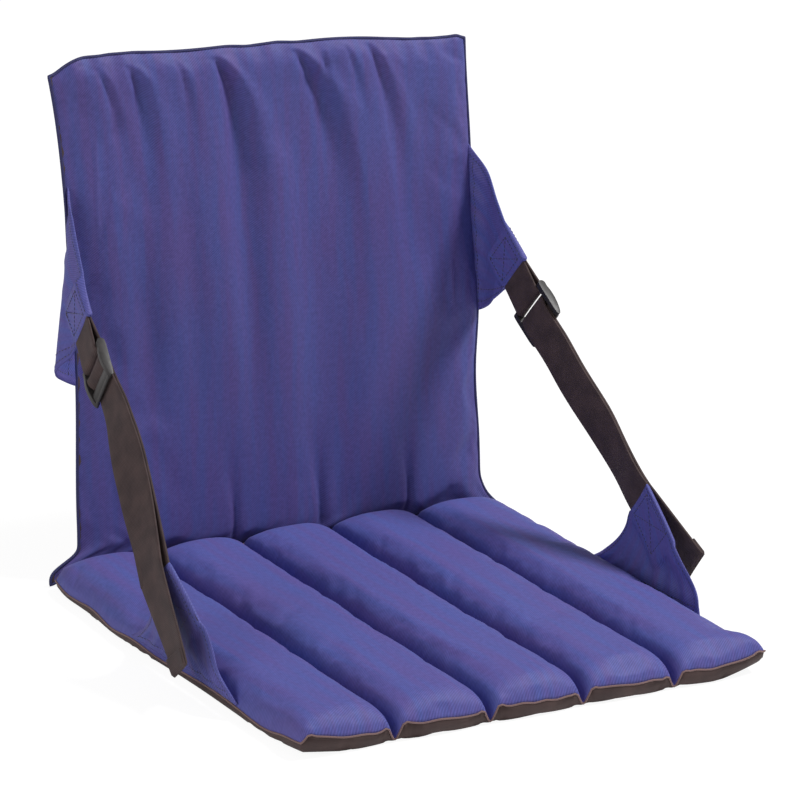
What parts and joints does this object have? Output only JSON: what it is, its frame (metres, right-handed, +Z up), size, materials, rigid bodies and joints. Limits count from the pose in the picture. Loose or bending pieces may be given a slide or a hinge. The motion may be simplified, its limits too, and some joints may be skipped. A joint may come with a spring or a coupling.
{
  "type": "stadium seat",
  "caption": "Folding stadium seat: channel-quilted seat and padded back, hinged by fabric and braced by webbing straps with ladder-lock buckles.",
  "frame": {"origin": "middle of the seat panel's flat underside, on the ground", "axes": "+Z up, -Y towards the front of the seat, +X to the sitter's left as seen from the front right; the back stands at +Y"},
  "size_m": [0.4576, 0.4746, 0.4256],
  "materials": {
    "blue_twill": "woven polyester twill with a slight sheen",
    "coated_backing": "coated woven polyester, dull",
    "webbing": "flat woven webbing",
    "foam": "closed-cell foam",
    "stay_rod": "glass-fibre rod, satin",
    "cap_plastic": "moulded plastic",
    "buckle_plastic": "moulded acetal, low gloss"
  },
  "bodies": {
    "seat": {"seat_top_cover": "blue_twill", "seat_bottom_cover": "coated_backing", "seat_foam_1": "foam", "seat_foam_2": "foam", "seat_foam_3": "foam", "seat_foam_4": "foam", "seat_foam_5": "foam", "seat_stay_left": "stay_rod", "seat_stay_right": "stay_rod", "seat_stay_caps": "cap_plastic", "fold_web": "coated_backing"},
    "back": {"back_front_cover": "blue_twill", "back_rear_cover": "coated_backing", "back_foam": "foam", "back_stay_left": "stay_rod", "back_stay_right": "stay_rod", "back_stay_caps": "cap_plastic"},
    "seat_wing_left_body": {"seat_wing_left": "blue_twill", "strap_lower_left": "webbing", "strap_tail_left": "webbing"},
    "back_wing_left_body": {"back_wing_left": "blue_twill", "buckle_loop_left": "webbing", "ladder_lock_left": "buckle_plastic"},
    "strap_upper_left_body": {"strap_upper_left": "webbing"},
    "seat_wing_right_body": {"seat_wing_right": "blue_twill", "strap_lower_right": "webbing", "strap_tail_right": "webbing"},
    "back_wing_right_body": {"back_wing_right": "blue_twill", "buckle_loop_right": "webbing", "ladder_lock_right": "buckle_plastic"},
    "strap_upper_right_body": {"strap_upper_right": "webbing"}
  },
  "joints": [
    {"name": "back_fold", "type": "hinge", "parent": "seat", "child": "back", "pos_m": [0, 0.2075, 0.0315], "axis": [1, 0, 0], "range_deg": [0, 96], "deforming": ["fold_web", "strap_upper_left", "strap_upper_right", "strap_lower_left", "strap_lower_right", "strap_tail_left", "strap_tail_right"]},
    {"name": "seat_wing_splay_right", "type": "hinge", "parent": "seat", "child": "seat_wing_right_body", "pos_m": [0.2162, -0.0265, 0.012], "axis": [0, 1, 0], "range_deg": [0, 66]},
    {"name": "back_wing_splay_right", "type": "hinge", "parent": "back", "child": "back_wing_right_body", "pos_m": [0.2012, 0.24311, 0.2518], "axis": [0, 0.1219, 0.9925], "range_deg": [0, 100.94]},
    {"name": "strap_fold_right", "type": "hinge", "parent": "seat_wing_right_body", "child": "strap_upper_right_body", "pos_m": [0.21131, 0.08691, 0.15886], "axis": [0.0748, -0.7122, 0.698], "range_deg": [0, 166.28]},
    {"name": "seat_wing_splay_left", "type": "hinge", "parent": "seat", "child": "seat_wing_left_body", "pos_m": [-0.2162, -0.0265, 0.012], "axis": [0, -1, 0], "range_deg": [0, 66]},
    {"name": "back_wing_splay_left", "type": "hinge", "parent": "back", "child": "back_wing_left_body", "pos_m": [-0.2012, 0.24311, 0.2518], "axis": [0, -0.1219, -0.9925], "range_deg": [0, 100.94]},
    {"name": "strap_fold_left", "type": "hinge", "parent": "seat_wing_left_body", "child": "strap_upper_left_body", "pos_m": [-0.21131, 0.08691, 0.15886], "axis": [0.0748, 0.7122, -0.698], "range_deg": [0, 166.28]}
  ],
  "couplings": [
    {"joint": "seat_wing_splay_right", "follows": "back_fold", "ratio": 0.6875},
    {"joint": "back_wing_splay_right", "follows": "back_fold", "ratio": 1.0515},
    {"joint": "strap_fold_right", "follows": "back_fold", "ratio": 1.7321},
    {"joint": "seat_wing_splay_left", "follows": "back_fold", "ratio": 0.6875},
    {"joint": "back_wing_splay_left", "follows": "back_fold", "ratio": 1.0515},
    {"joint": "strap_fold_left", "follows": "back_fold", "ratio": 1.7321}
  ]
}
